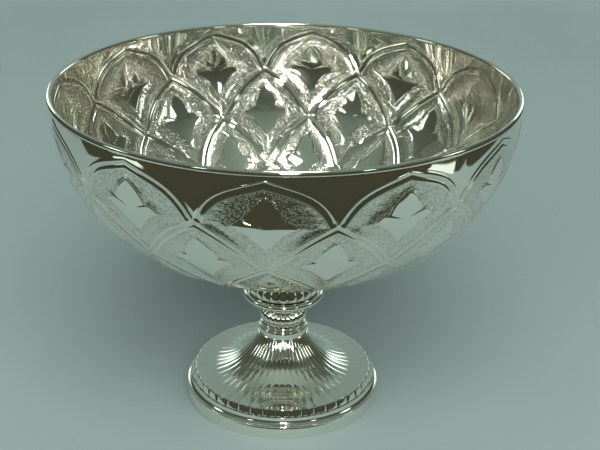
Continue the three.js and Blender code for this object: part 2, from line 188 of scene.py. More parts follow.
class Nodes:
    """Short calls for adding and linking shader nodes."""

    def __init__(self, name):
        self.material = bpy.data.materials.new(name)
        self.material.use_nodes = True
        self.tree = self.material.node_tree
        self.shader = self.tree.nodes["Principled BSDF"]

    def add(self, kind, settings=None, **inputs):
        node = self.tree.nodes.new("ShaderNode" + kind)
        for key, value in (settings or {}).items():
            setattr(node, key, value)
        for key, value in inputs.items():
            self.feed(node.inputs[key.replace("_", " ")], value)
        return node

    def feed(self, socket, value):
        if isinstance(value, bpy.types.NodeSocket):
            self.tree.links.new(value, socket)
        else:
            socket.default_value = value

    def math(self, operation, a, b=0.0, clamp=False):
        node = self.tree.nodes.new("ShaderNodeMath")
        node.operation = operation
        node.use_clamp = clamp
        self.feed(node.inputs[0], a)
        self.feed(node.inputs[1], b)
        return node.outputs[0]

    def ramp(self, value, low, high, to_low=0.0, to_high=1.0):
        node = self.add("MapRange", Value=value)
        node.inputs["From Min"].default_value = low
        node.inputs["From Max"].default_value = high
        node.inputs["To Min"].default_value = to_low
        node.inputs["To Max"].default_value = to_high
        return node.outputs["Result"]

    def mix(self, share, a, b):
        node = self.tree.nodes.new("ShaderNodeMix")
        node.data_type = "RGBA"
        self.feed(node.inputs[0], share)
        self.feed(node.inputs[6], a)
        self.feed(node.inputs[7], b)
        return node.outputs[2]

    def place(self, scale=(1, 1, 1)):
        """The object's own coordinates, in metres, stretched by `scale`."""
        where = self.tree.nodes.new("ShaderNodeTexCoord").outputs["Object"]
        mapping = self.add("Mapping", Vector=where)
        mapping.inputs["Scale"].default_value = scale
        return mapping.outputs["Vector"]

    def noise(self, scale, detail=2.0, stretch=(1, 1, 1)):
        node = self.add("TexNoise", Vector=self.place(stretch))
        node.inputs["Scale"].default_value = scale
        node.inputs["Detail"].default_value = detail
        return node.outputs["Fac"]

    def layer(self, name):
        node = self.tree.nodes.new("ShaderNodeAttribute")
        node.attribute_name = name
        return node.outputs["Fac"]

    def bump(self, height, strength, distance, below=None):
        node = self.add("Bump", Height=height)
        node.inputs["Strength"].default_value = strength
        node.inputs["Distance"].default_value = distance
        if below is not None:
            self.feed(node.inputs["Normal"], below)
        return node.outputs["Normal"]


def silver(name, matted=False, polish=0.045, seed=0.0):
    """Mirror-polished silver plate: faint handling marks, hairlines, a little tarnish in the
    recesses and, where it is matted, punched stippling."""
    n = Nodes(name)
    n.shader.inputs["Metallic"].default_value = 1.0
    cloudy = n.noise(11.0 + seed, 4.0)
    recess = n.layer("recess")
    tarnish = n.math("MULTIPLY", recess, n.ramp(n.noise(55.0, 3.0), 0.3, 0.75, 0.1, 0.6))
    tone = n.mix(n.ramp(cloudy, 0.35, 0.7), SILVER_CLEAR, SILVER_CLOUDED)
    tone = n.mix(tarnish, tone, TARNISH)
    n.feed(n.shader.inputs["Base Color"], tone)
    smears = n.ramp(cloudy, 0.5, 0.78, 0.0, 0.05)
    hairlines = n.ramp(n.noise(130.0, 2.0, (1.0, 1.0, 26.0)), 0.62, 0.8, 0.0, 0.05)
    rough = n.math("ADD", n.math("ADD", smears, hairlines), polish)
    wave = n.noise(26.0 + seed, 1.0)
    normal = n.bump(wave, 0.18, 0.0015)
    if matted:
        matting = n.layer("matting")
        dots = n.add("TexVoronoi", {"feature": "F1"}, Vector=n.place())
        dots.inputs["Scale"].default_value = PUNCH_MARKS_PER_METRE
        dots.inputs["Randomness"].default_value = 0.85
        grain = n.math("MULTIPLY", n.ramp(dots.outputs["Distance"], 0.05, 0.42), matting)
        patches = n.ramp(n.noise(240.0, 2.0), 0.3, 0.7, 0.6, 1.0)
        normal = n.bump(n.math("MULTIPLY", grain, patches), 0.75, 0.0004, normal)
        rough = n.math("ADD", rough, n.math("MULTIPLY", matting, 0.10))
    n.feed(n.shader.inputs["Roughness"], rough)
    n.feed(n.shader.inputs["Normal"], normal)
    return n.material


def turned_metal(name, bright, dull, polish, ring_scale=900.0):
    """Lathe-turned metal with fine tool rings and a patchy tone."""
    n = Nodes(name)
    n.shader.inputs["Metallic"].default_value = 1.0
    patches = n.noise(60.0, 4.0)
    n.feed(n.shader.inputs["Base Color"], n.mix(n.ramp(patches, 0.3, 0.7), bright, dull))
    rings = n.noise(ring_scale, 1.0, (0.05, 0.05, 1.0))
    n.feed(n.shader.inputs["Roughness"], n.ramp(patches, 0.3, 0.75, polish, polish + 0.22))
    n.feed(n.shader.inputs["Normal"], n.bump(rings, 0.25, 0.0002))
    return n.material


def pressed_fibre():
    """Red-brown pressed fibre with short flecks."""
    n = Nodes("pressed_fibre")
    flecks = n.noise(700.0, 5.0, (1.0, 3.0, 1.0))
    colour = n.mix(n.ramp(flecks, 0.35, 0.65), (0.18, 0.05, 0.03, 1), (0.30, 0.11, 0.06, 1))
    n.feed(n.shader.inputs["Base Color"], colour)
    n.feed(n.shader.inputs["Roughness"], n.ramp(flecks, 0.3, 0.7, 0.65, 0.9))
    n.feed(n.shader.inputs["Normal"], n.bump(flecks, 0.4, 0.0003))
    return n.material


def cloth():
    """Pale grey-green cloth that the bowl stands on: a fine weave and faint folds, with painted
    shade in the hollows of the folds.
    """
    n = Nodes("stage_cloth")
    creases_and_fold_shade = n.noise(2.3, 3.0, (1.0, 0.45, 1.0))
    # painted shade: the colour darkens in the hollows of the faint folds and lightens on their
    # crests, while the bump gives the folds their real relief
    colour = n.mix(n.ramp(creases_and_fold_shade, 0.3, 0.7), CLOTH_DARK, CLOTH_LIGHT)
    n.feed(n.shader.inputs["Base Color"], colour)
    n.shader.inputs["Roughness"].default_value = 0.9
    weave = n.noise(900.0, 2.0)
    n.feed(n.shader.inputs["Normal"], n.bump(weave, 0.1, 0.0004, n.bump(creases_and_fold_shade, 0.25, 0.02)))
    return n.material


SILVER_PLAIN = silver("silver_plate_plain", seed=1.0)
SILVER_CHASED = silver("silver_plate_chased", matted=True)
SILVER_STEM = silver("silver_plate_stem", polish=0.06, seed=3.0)
BRASS = turned_metal("turned_brass", (0.72, 0.52, 0.24, 1), (0.55, 0.38, 0.17, 1), 0.24)
STEEL = turned_metal("zinc_plated_steel", (0.62, 0.63, 0.62, 1), (0.46, 0.47, 0.48, 1), 0.26)
FIBRE = pressed_fibre()

# ---- The bowl's curve --------------------------------------------------------------------


class BowlCurve:
    """The outer section of the bowl by distance along the sheet, from the mouth down."""

    def __init__(self):
        t = np.linspace(0, math.pi / 2, 6001)
        self.radius = BOWL_RADIUS * np.maximum(np.cos(t), 0) ** (2 / BOWL_RADIAL_POWER)
        self.radius[-1] = 0.0
        self.height = MOUTH_Z - BOWL_DEPTH * np.sin(t) ** (2 / BOWL_DEPTH_POWER)
        dr, dz = np.gradient(self.radius), np.gradient(self.height)
        size = np.hypot(dr, dz)
        self.out_r, self.out_z = -dz / size, dr / size
        steps = np.hypot(np.diff(self.radius), np.diff(self.height))
        self.along = np.concatenate([[0], np.cumsum(steps)])

    def at_height(self, z):
        return float(np.interp(-z, -self.height, self.along))

    def radius_at(self, s):
        return np.interp(s, self.along, self.radius)

    def place(self, theta, s, lift):
        """Points on the outer surface, moved outward by `lift`."""
        r = self.radius_at(s) + lift * np.interp(s, self.along, self.out_r)
        z = np.interp(s, self.along, self.height) + lift * np.interp(s, self.along, self.out_z)
        return np.stack([r * np.sin(theta), -r * np.cos(theta), z], -1)


CURVE = BowlCurve()
ROWS = [CURVE.at_height(z) for z in ROW_HEIGHTS]
SHEET_TOP = CURVE.at_height(SHEET_TOP_Z)
BOTTOM = float(CURVE.along[-1])
HALF_ARCH = math.pi / ARCHES  # from an arch's tip to its corner


def hand_drift(theta):
    """How far the pattern slips round the bowl, in radians: a correction that was fitted."""
    return 0.0366 * np.cos(theta) + 0.0474 * np.sin(theta)


# ---- One arch of the chasing -------------------------------------------------------------
# Within an arch, points are (across, down): millimetres from its middle line, measured
# round the bowl, and millimetres along the sheet from the mouth.


def limb(row, u):
    """The right limb of a row's arch, from its tip (0) to its corner (1)."""
    u = np.asarray(u, float)
    straight, power = LIMB_SHAPES[row]
    down = ROWS[row] + (ROWS[row + 1] - ROWS[row]) * (straight * u + (1 - straight) * u**power)
    return np.stack([HALF_ARCH * u * CURVE.radius_at(down), down], -1)


def foot_edge(row, u):
    """What closes an arch below on the right, from its corner (0) to its lowest point (1):
    a limb of the next row, or the closing ring under the last row."""
    u = np.asarray(u, float)
    if row + 2 < len(ROWS):
        p = limb(row + 1, u)
        across = HALF_ARCH * CURVE.radius_at(p[..., 1]) - p[..., 0]
        return np.stack([across, p[..., 1]], -1)
    down = np.full(u.shape, ROWS[-1])
    return np.stack([HALF_ARCH * (1 - u) * CURVE.radius_at(down), down], -1)


def second_line(row):
    """The line inside an arch's limb, from the middle line to where it meets the foot edge,
    and the share of the foot edge where they meet."""
    dense = np.linspace(0, 1, 241)
    outer = limb(row, dense)
    along = np.gradient(outer, axis=0)
    along /= np.linalg.norm(along, axis=1, keepdims=True)
    inner = outer + BAND_WIDTHS[row] * np.stack([-along[:, 1], along[:, 0]], -1)
    inner = np.vstack([inner, inner[-1] + (inner[-1] - inner[-2]) * np.arange(1, 300)[:, None]])
    start = int(np.argmax(inner[:, 0] > 0))
    a, b = inner[start - 1], inner[start]
    tip = a + (b - a) * (-a[0] / (b[0] - a[0]))
    inner = np.vstack([tip, inner[start:]])
    edge = foot_edge(row, dense)
    edge_down = np.interp(inner[:, 0], edge[::-1, 0], edge[::-1, 1])
    end = int(np.argmax(inner[:, 1] >= edge_down))
    meet_across = inner[end, 0]
    meet = float(np.interp(-meet_across, -edge[:, 0], dense))
    return np.vstack([inner[:end], foot_edge(row, meet)]), meet


def limb_shares(row):
    """Where a limb is cut, shared by the arch it bounds and the arch above it."""
    meet = MEETS[row - 1] if row > 0 else 0.13
    dense = np.linspace(0, 1, 801)
    line = limb(row, dense)
    lengths = np.concatenate([[0], np.cumsum(np.linalg.norm(np.diff(line, axis=0), axis=1))])
    start = np.interp(meet, dense, lengths)
    stops = np.linspace(start, lengths[-1] - 3.4, LIMB_STEPS - 1)
    stops = np.concatenate([stops[1:], [lengths[-1] - 1.3, lengths[-1]]])
    return np.concatenate([np.array(BAND_LEVELS) * meet, np.interp(stops, lengths, dense)])


SECOND_LINES, MEETS = zip(*[second_line(row) for row in range(len(ROWS) - 1)])


def star_outline(row):
    """The right half of a star, in the arch's own shares of width and height: a pointed top
    between two shoulders, a side tip and a hollow-sided lower point."""
    shoulder = through([(0, 0.185), (0.075, 0.215), (0.15, 0.265), (0.21, 0.325), (0.245, 0.4)], 8)
    wing = through([(0.252, 0.412), (0.31, 0.403), (0.385, 0.42), (0.455, 0.47)], 6)
    below = through([(0.455, 0.47), (0.345, 0.494), (0.24, 0.54), (0.12, 0.63), (0, 0.73)], 8)
    top = ROWS[row]
    bottom = ROWS[row + 2] if row + 2 < len(ROWS) else ROWS[-1] + 0.35 * (ROWS[-1] - ROWS[-2])
    width = HALF_ARCH * CURVE.radius_at(ROWS[row] + 0.45 * (bottom - top))

    def real(points):
        return [(x * width, top + y * (bottom - top)) for x, y in points]

    upper = real(shoulder + wing)
    lower = real(below)
    upper = resample(upper, np.linspace(0, 1, BAND_STEPS + LIMB_STEPS + 1))
    lower = resample(lower, np.linspace(0, 1, LIMB_STEPS + 1))
    middle = np.array([0.0, top + 0.46 * (bottom - top)])
    return upper, lower, middle


def mirrored(points):
    """The same points on the other side of the arch's middle line."""
    return points * np.array([-1.0, 1.0])


class Sheet:
    """Collects grids of (angle, along, lift, matting) and the quads between them."""

    def __init__(self):
        self.rows = []
        self.faces = []
        self.count = 0

    def grid(self, angle, along, lift, matting, wrap=False):
        """Level by level down, column by column to the right."""
        levels, columns = angle.shape
        base = self.count
        self.rows.append(np.stack([angle, along, lift, matting], -1).reshape(-1, 4))
        self.count += levels * columns
        for i in range(levels - 1):
            for j in range(columns if wrap else columns - 1):
                k = (j + 1) % columns
                self.faces.append((base + i * columns + j, base + (i + 1) * columns + j,
                                   base + (i + 1) * columns + k, base + i * columns + k))
        return base

    def fan(self, first, columns, angle, along, lift, matting):
        """Closes a ring of columns onto one point."""
        self.rows.append(np.array([[angle, along, lift, matting]]))
        for j in range(columns):
            self.faces.append((first + j, self.count, first + (j + 1) % columns))
        self.count += 1


def add_arch(sheet, row, middle_angle):
    """The band, the matted field and the star of one arch."""
    shares = limb_shares(row)
    right = limb(row, shares)
    outer = np.vstack([mirrored(right[:0:-1]), right])
    second = resample(SECOND_LINES[row], share_of_length(right))
    inner = np.vstack([mirrored(second[:0:-1]), second])
    edge_shares = foot_shares(row)
    edge = foot_edge(row, edge_shares)

    # the band between the two lines
    levels = np.array(BAND_LEVELS)[:, None, None]
    band = outer + levels * (inner - outer)
    band[:, -1] = edge[: BAND_STEPS + 1]
    band[:, 0] = mirrored(edge[: BAND_STEPS + 1])
    lifts = np.array([LINE_CREST, 0.2, GROUND, GROUND - 0.04, GROUND, 0.12, SECOND_CREST])
    lift = np.repeat(lifts[:, None], band.shape[1], 1)
    lift[:, 0] = LINE_CREST
    lift[:, -1] = LINE_CREST
    put(sheet, band, lift, np.zeros_like(lift), middle_angle, False)

    # the matted field, from the second line and the foot edge to the star
    lower_edge = edge[BAND_STEPS:]
    boundary = loop(second, lower_edge)
    star_upper, star_lower, star_middle = star_outline(row)
    star = loop(star_upper, star_lower)
    gap = np.linalg.norm(star - boundary, axis=1)
    tight = np.minimum(1.0, gap / 5.5)
    zero = np.zeros_like(gap)
    steps = np.stack([
        zero,
        0.6 * tight / gap,
        1.3 * tight / gap,
        0.5 + zero,
        1 - 1.6 * tight / gap,
        1 - 0.75 * tight / gap,
        1 + zero,
    ])
    field = boundary + steps[:, :, None] * (star - boundary)
    upper_count = len(second)
    on_second = np.zeros(len(boundary), bool)
    on_second[: upper_count - 1] = True
    on_second[-(upper_count - 1) + 1 :] = True
    crest = np.where(on_second, SECOND_CREST, LINE_CREST)
    field_lift = np.stack([
        crest,
        (crest + GROUND) * 0.5,
        GROUND + zero,
        GROUND + 0.08 + zero,
        GROUND + zero,
        0.5 * (STAR_CREST + GROUND) + zero,
        STAR_CREST + zero,
    ])
    field_matting = np.stack([zero, zero, 1 + zero, 1 + zero, 1 + zero, 0.1 + zero, zero])
    put(sheet, field, field_lift, field_matting, middle_angle, True)

    # the star, slightly domed
    to_middle = np.linalg.norm(star - star_middle, axis=1)
    shares_in = np.stack([zero, np.minimum(0.9 / to_middle, 0.3), 0.42 + zero, 0.75 + zero])
    shares_in[2] = np.maximum(shares_in[2], shares_in[1] + 0.1)
    dome = star + shares_in[:, :, None] * (star_middle - star)
    dome_lift = np.stack([STAR_CREST + zero, 0.44 + zero, 0.68 + zero, 0.8 + zero])
    base = put(sheet, dome, dome_lift, np.zeros_like(dome_lift), middle_angle, True)
    columns = len(star)
    angle = middle_angle + star_middle[0]
    sheet.fan(base + 3 * columns, columns, angle, star_middle[1], 0.84, 0.0)


def loop(upper, lower):
    """A closed outline from its right half: along the top, then along the lower edge."""
    right = np.vstack([upper, lower[1:]])
    return np.vstack([right, mirrored(right[-2:0:-1])])


def share_of_length(points):
    lengths = np.concatenate([[0], np.cumsum(np.linalg.norm(np.diff(points, axis=0), axis=1))])
    return lengths / lengths[-1]


def foot_shares(row):
    """Where an arch's foot edge is cut."""
    if row + 2 < len(ROWS):
        return limb_shares(row + 1)
    meet = MEETS[row]
    rest = np.linspace(meet, 1, LIMB_STEPS + 1)[1:]
    return np.concatenate([np.array(BAND_LEVELS) * meet, rest])


def put(sheet, points, lift, matting, middle_angle, wrap):
    angle = middle_angle + points[..., 0] / CURVE.radius_at(points[..., 1])
    return sheet.grid(angle, points[..., 1], lift, matting, wrap)


def add_plain_top(sheet, middle_angle):
    """The plain sheet between the rim and the first row's limbs."""
    right = limb(0, limb_shares(0))
    limbs = np.vstack([mirrored(right[:0:-1]), right])
    angle = limbs[:, 0] / CURVE.radius_at(limbs[:, 1])
    slope = np.abs(np.gradient(limbs[:, 1]) / np.gradient(limbs[:, 0]))
    room = limbs[:, 1] - SHEET_TOP
    stretch = np.minimum(np.hypot(1, np.minimum(slope, 2.0)), room / 7.5)
    reach = [stretch * up for up in (0.0, 0.6, 1.1, 1.6, 3.0, 4.4)]
    reach += [reach[-1] + (room - reach[-1]) * share for share in (0.35, 1.0)]
    lifts = (LINE_CREST, 0.14, -0.06, -0.09, -0.04, -0.01, 0.0, 0.0)
    along = np.stack([limbs[:, 1] - up for up in reach[::-1]])
    lift = np.repeat(np.array(lifts[::-1])[:, None], len(angle), 1)
    angles = np.repeat((middle_angle + angle)[None, :], len(along), 0)
    sheet.grid(angles, along, lift, np.zeros_like(lift))


def add_plain_bottom(sheet):
    """The closing ring, a second ring outside the cup and the plain middle."""
    cuts = HALF_ARCH * (1 - foot_shares(len(ROWS) - 2))
    half = np.concatenate([-cuts[:-1], cuts[::-1]])
    step = 2 * HALF_ARCH
    start = FIRST_ARCH + HALF_ARCH * ((len(ROWS) - 2) % 2)
    angles = np.concatenate([start + step * k + half[:-1] for k in range(ARCHES)])
    drops = (0.0, 0.7, 1.5, 5.0, 14.0, 15.0, 16.0, 17.0, 18.0, 30.0, 48.0, 66.0)
    lifts = (LINE_CREST, 0.15, GROUND, 0.0, 0.0, 0.14, 0.32, 0.14, 0.0, 0.0, 0.0, 0.0)
    along = np.repeat((ROWS[-1] + np.array(drops))[:, None], len(angles), 1)
    lift = np.repeat(np.array(lifts)[:, None], len(angles), 1)
    grid = np.repeat(angles[None, :], len(drops), 0)
    base = sheet.grid(grid, along, lift, np.zeros_like(lift), True)
    last = base + (len(drops) - 1) * len(angles)
    sheet.fan(last, len(angles), 0.0, BOTTOM, 0.0, 0.0)


def chased_bowl():
    sheet = Sheet()
    for row in range(len(ROWS) - 1):
        for k in range(ARCHES):
            middle = FIRST_ARCH + 2 * HALF_ARCH * k + HALF_ARCH * (row % 2)
            add_arch(sheet, row, middle)
            if row == 0:
                add_plain_top(sheet, middle)
    add_plain_bottom(sheet)
    data = np.vstack(sheet.rows)
    theta, along, lift, matting = data.T
    theta = theta + hand_drift(theta)
    outer = CURVE.place(theta, along, lift + unevenness(theta, along))
    inner = CURVE.place(theta, along, lift + unevenness(theta, along) - BOWL_WALL)
    faces = list(sheet.faces)
    count = len(data)
    faces += [tuple(count + v for v in reversed(face)) for face in sheet.faces]
    recess = np.clip((0.02 - lift) / 0.25, 0, 1)
    piece = make_piece(
        "chased_bowl", np.vstack([outer, inner]), faces, SILVER_CHASED,
        ["bowl_shell"],
        {"matting": np.tile(matting, 2), "recess": np.tile(recess, 2)},
    )
    weld(piece.data)
    close_edge(piece.data)
    piece.data.polygons.foreach_set("use_smooth", [True] * len(piece.data.polygons))
    return piece


def unevenness(theta, along):
    """Hand work leaves the sheet slightly uneven below the plain edge."""
    r = CURVE.radius_at(along)
    z = np.interp(along, CURVE.along, CURVE.height)
    places = np.stack([r * np.sin(theta), -r * np.cos(theta), z], -1) / 17.0
    values = np.array([noise.noise(Vector(p)) for p in places])
    return values * 0.09 * np.clip((along - ROWS[0]) / 30.0, 0, 1)


def close_edge(mesh):
    """Bridges the outer and inner surfaces along the sheet's top edge."""
    work = bmesh.new()
    work.from_mesh(mesh)
    open_edges = [edge for edge in work.edges if edge.is_boundary]
    for edge in open_edges:
        edge.smooth = False
    bmesh.ops.bridge_loops(work, edges=open_edges)
    bmesh.ops.recalc_face_normals(work, faces=work.faces)
    work.to_mesh(mesh)
    work.free()
    mesh.update()


# ---- The turned silver pieces ------------------------------------------------------------


def rim_bead():
    centre = MOUTH_RADIUS - BEAD_RADIUS
    section = arc(centre, MOUTH_Z, BEAD_RADIUS, -90, 270, 28)[:-1]
    return lathe("rim_bead_polished", section, 256, SILVER_PLAIN, ["rim_bead"])


def lobes(count, depth, lowest, highest, inner, power=1.0):
    """Upright lobes with narrow valleys, on the part of a piece outside `inner`."""

    def ripple(radius, height, angle):
        valley = 1 - np.abs(np.cos(count * angle / 2)) ** power
        fade = np.clip((height - lowest) / 1.5, 0, 1) * np.clip((highest - height) / 1.5, 0, 1)
        return depth * valley * fade * (radius > inner)

    return ripple


def seat_cup():
    base = CUP_BASE_Z
    outside = through([(31.2, base), (32.1, base + 1.8), (31.9, base + 4.5), (30.9, base + 8.5),
                       (30.2, base + 13), (30.9, base + 18), (33.6, base + 24),
                       (38.8, base + 30), (45.6, base + 34.2), (50, 141.1)], 5)
    section = [(4.5, base), *outside, (50, 142.3), (45, 141.3), (45, 140.6), (26, 139.1),
               (26, 137.5), (38, 135.9), (31.8, 128), (29.6, 120.5), (29.6, 106.1),
               (4.5, 106.1)]
    ripple = lobes(LOBES, 0.95, base + 0.8, base + 33, 29.9, 0.8)
    return lathe("lobed_cup", section, 288, SILVER_STEM, ["seat_cup"], ripple)


def stem_flange():
    section = [(4.5, 97.8), *through([(16, 97.8), (20.5, 98.5), (27, 98.4), (33.2, 98.2)], 4),
               *arc(33.7, 101.2, 3, -85, 88, 14), (30.8, 103.9), (30.4, 103.5), (4.5, 103.5)]
    return lathe("round_flange", section, 192, SILVER_STEM, ["stem_flange"])


def stem_knop():
    z = KNOP_BASE_Z
    barrel = through([(19.8, z + 1.2), (20.9, z + 2.6), (21.6, z + 5.4), (20.8, z + 9),
                      (18.5, z + 12), (16.2, z + 13.6)], 6)
    fillet = arc(15.9, z + 15, 1.1, -75, 75, 8)
    neck = through([(15.0, z + 16.5), (14.2, z + 18.5), (14.3, z + 21), (15.4, z + 23.9)], 5)
    section = [(16.5, z), (19.4, z), (19.8, z + 0.5), *barrel, *fillet, *neck,
               (4.5, z + 24), (4.5, z + 21.5), (11.5, z + 21.5), (12, z + 15), (17.8, z + 6)]
    ripple = lobes(LOBES, 0.85, z - 0.8, z + 13.2, 17.9, 0.7)
    return lathe("fluted_knop", section, 288, SILVER_STEM, ["stem_knop"], ripple)


def knop_ring():
    section = [(9, 69.8), (18.6, 69.8), *arc(19.2, 71.5, 1.7, -80, 80, 12), (18.6, 73.2),
               (9, 73.2)]
    return lathe("groove_ring", section, 160, SILVER_STEM, ["knop_ring"])


def foot_collar():
    outside = through([(21.9, 60.3), (22.8, 61.1), (23, 62.6), (22.95, 65.5), (22.7, 67.8),
                       (22.1, 69.1), (21.3, 69.5)], 5)
    section = [(9, 60.3), *outside, (9, 69.5)]
    return lathe("plain_collar", section, 160, SILVER_STEM, ["foot_collar"])


def foot_flare(radius):
    """Height of the foot's outer surface at a radius."""
    outward = max((83.0 - radius) / 62.5, 0.0)
    return FOOT_LEVEL_Z + FOOT_FLARE_RISE * outward**3


def foot_shell():
    radii = [20.5, 21.3, 22.4, 24, 26, 28.5, 31.5, 35, 39, 43.5, 48.5, 54, 60, 66, 72, 77, 80]
    outside = [(r, foot_flare(r)) for r in radii]
    edge = arc(81.3, 25.2, 0.9, 88, 24, 6)
    wall = [(82.5, 24.6), (83.2, 22.8), (83.9, 20.9), (84.1, 20.2), (83.8, 19.8)]
    inside = [(81.8, 19.8), (81.6, 23.5), (80, 24.4)]
    inside += [(r - 1.2, foot_flare(r) - 1.6) for r in radii[-2:2:-2]]
    section = [(9, 60), *outside, *edge, *wall, *inside, (18.7, 58.4), (9, 58.4)]
    section = section[::-1]

    def ripple(radius, height, angle):
        outer = height > np.vectorize(foot_flare)(radius) - 0.5
        outer |= radius > 82.0
        outer &= (radius > 20.6) & (height > 19.9)
        outward = np.clip((radius - 20.5) / 62.0, 0, 1)
        on_wall = np.clip((radius - 80.5) / 1.5, 0, 1)
        blade = np.abs(np.cos(REEDS * angle / 2)) ** (0.7 - 0.48 * on_wall)
        depth = (0.40 - 0.26 * outward + 0.78 * on_wall) * np.clip((radius - 20.5) / 2.0, 0, 1)
        return outer * depth * (1 - blade)

    return lathe("reeded_foot", section, 440, SILVER_STEM, ["foot_shell"], ripple,
                 sharp=50.0)


def foot_band():
    hollow = through([(84.7, 19.4), (84.9, 17.6), (85.6, 15.4), (87.2, 13.7), (88.5, 13.2)], 5)
    ridge = arc(88.5, 12.4, 0.8, 84, -40, 8)
    base = through([(89.2, 11.6), (89.6, 10.2), (89.93, 7.5), (90, 4.8), (89.75, 1.9),
                    (89.2, 0.35), (88.6, 0)], 6)
    outside = [*hollow, *ridge, *base]
    inside = [(84.5, 0), (84.5, 1.2), (87.6, 1.2), (87.6, 6), (85.6, 10.8), (83.2, 17.4),
              (80.2, 17.4), (80.2, 19.4)]
    section = [*outside, *inside][::-1]
    return lathe("stepped_band", section, 256, SILVER_STEM, ["foot_band"])


# ---- The hidden fastening ----------------------------------------------------------------


def threaded(name, outer, pitch, bottom, top, material, replaced):
    """A rod with a real helical thread between two chamfered ends."""
    segments = 24
    rings = int((top - bottom) / pitch * 6)
    points = []
    for i in range(rings + 1):
        z = bottom + (top - bottom) * i / rings
        end = min(z - bottom, top - z)
        for k in range(segments):
            angle = 2 * math.pi * k / segments
            phase = ((z - bottom) / pitch - k / segments) % 1.0
            depth = 0.62 * (1 - abs(2 * phase - 1) * 1.15 + 0.15)
            depth = min(max(depth, 0.0), 0.62)
            radius = min(outer - depth, outer - 1.0 + end)
            points.append((radius * math.cos(angle), radius * math.sin(angle), z))
    faces = []
    for i in range(rings):
        for k in range(segments):
            n = (k + 1) % segments
            faces.append((i * segments + k, i * segments + n,
                          (i + 1) * segments + n, (i + 1) * segments + k))
    faces.append(tuple(reversed(range(segments))))
    faces.append(tuple(rings * segments + k for k in range(segments)))
    piece = make_piece(name, points, faces, material, replaced)
    piece.data.set_sharp_from_angle(angle=math.radians(50))
    return piece


def hex_nut():
    """A chamfered nut: each corner is cut back by a cone, top and bottom."""
    flats, bottom, thick, bore = 13.0, 32.8, 6.5, 4.3
    segments = 72
    levels = (0.0, 0.25, 0.6, 1.2, thick - 1.2, thick - 0.6, thick - 0.25, thick)
    points = []
    for level in levels:
        for k in range(segments):
            angle = 2 * math.pi * k / segments
            off = (angle + math.pi / 6) % (math.pi / 3) - math.pi / 6
            flat = flats / 2 / math.cos(math.pi / 6 - abs(off))
            end = min(level, thick - level)
            cone = flats / 2 - 0.25 + end * 1.7
            radius = min(flat, cone)
            points.append((radius * math.cos(angle), radius * math.sin(angle), bottom + level))
    for level in (thick, thick - 0.6, 0.6, 0.0):
        wide = bore + (0.55 if level in (0.0, thick) else 0.0)
        for k in range(segments):
            angle = 2 * math.pi * k / segments
            points.append((wide * math.cos(angle), wide * math.sin(angle), bottom + level))
    rings = len(levels) + 4
    faces = []
    for i in range(rings):
        j = (i + 1) % rings
        for k in range(segments):
            n = (k + 1) % segments
            faces.append((i * segments + k, i * segments + n, j * segments + n,
                          j * segments + k))
    piece = make_piece("chamfered_nut", points, faces, STEEL, ["hex_nut"])
    piece.data.set_sharp_from_angle(angle=math.radians(25))
    return piece


def spring_washer():
    """A split ring whose two ends stand slightly apart in height."""
    inner, outer, bottom, thick = 4.4, 7.4, 39.75, 1.85
    steps = 64
    gap = 0.16
    points = []
    for i in range(steps + 1):
        angle = gap + (2 * math.pi - 2 * gap) * i / steps
        rise = 0.16 * (i / steps - 0.5)
        for radius, z in ((inner, 0), (outer, 0), (outer, thick), (inner, thick)):
            height = bottom + z + rise
            points.append((radius * math.cos(angle), radius * math.sin(angle), height))
    faces = []
    for i in range(steps):
        for c in range(4):
            d = (c + 1) % 4
            faces.append((i * 4 + c, (i + 1) * 4 + c, (i + 1) * 4 + d, i * 4 + d))
    faces.append((0, 1, 2, 3))
    faces.append(tuple(steps * 4 + c for c in (3, 2, 1, 0)))
    piece = make_piece("split_washer", points, faces, STEEL, ["spring_washer"])
    piece.data.set_sharp_from_angle(angle=math.radians(40))
    return piece


def sheet_height(radius):
    """Height of the bowl's outer surface at a radius near its middle."""
    return float(np.interp(radius, CURVE.radius[::-1], CURVE.height[::-1]))


def fastening():
    threaded("threaded_rod", 4.0, 1.25, 24.0, 138.0, STEEL, ["tie_rod"])
    hex_nut()
    spring_washer()
    flat = [(4.4, 42.1), *arc(8.6, 42.5, 0.4, -90, 0, 3), *arc(8.6, 43.3, 0.4, 0, 90, 3),
            (4.4, 43.7)]
    lathe("plain_washer", flat, 72, STEEL, ["flat_washer"])
    plate = [(4.4, 44), (14, 44), (15, 44.4), (23.6, 44.4), *arc(24, 45.2, 0.8, -90, 60, 5),
             (23.4, 46.5), (4.4, 46.5)]
    lathe("dished_plate", plate, 128, BRASS, ["clamp_plate"])
    bush = [(4.4, 46.8), (8.2, 46.8), (8.7, 47.3), (8.7, 71.5), (8.2, 72), (4.4, 72)]
    lathe("centring_bush", bush, 72, BRASS, ["rod_bush"])
    boss = [(0, 138.3), (4.3, 138.3), (4.3, 131.6), (4.7, 131.3), (21.4, 131.3), (22, 131.9),
            (22, 138.9), (21.6, 139.3), (0, 139.3)]
    lathe("soldered_boss", boss, 96, BRASS, ["bowl_boss"])
    wire = arc(85.7, 3.1, 1.55, 0, 360, 12)[:-1]
    lathe("edge_wire", wire, 128, STEEL, ["foot_wire"])
    radii = (28, 32, 36, 40, 44)
    under = [(r, sheet_height(r) - GASKET_FAR) for r in radii]
    over = [(r, sheet_height(r) - GASKET_NEAR) for r in reversed(radii)]
    lathe("fibre_gasket", under + over, 96, FIBRE, ["bowl_gasket"])


chased_bowl()
rim_bead()
seat_cup()
stem_flange()
stem_knop()
knop_ring()
foot_collar()
foot_shell()
foot_band()
fastening()

# ---- Stage, light and camera -------------------------------------------------------------


def stage_mesh(name, points, faces, material):
    """A smooth mesh that is part of the stage."""
    mesh = bpy.data.meshes.new(name)
    mesh.from_pydata(points, [], faces)
    mesh.polygons.foreach_set("use_smooth", [True] * len(faces))
    mesh.materials.append(material)
    piece = bpy.data.objects.new(name, mesh)
    bpy.context.scene.collection.objects.link(piece)
    return piece


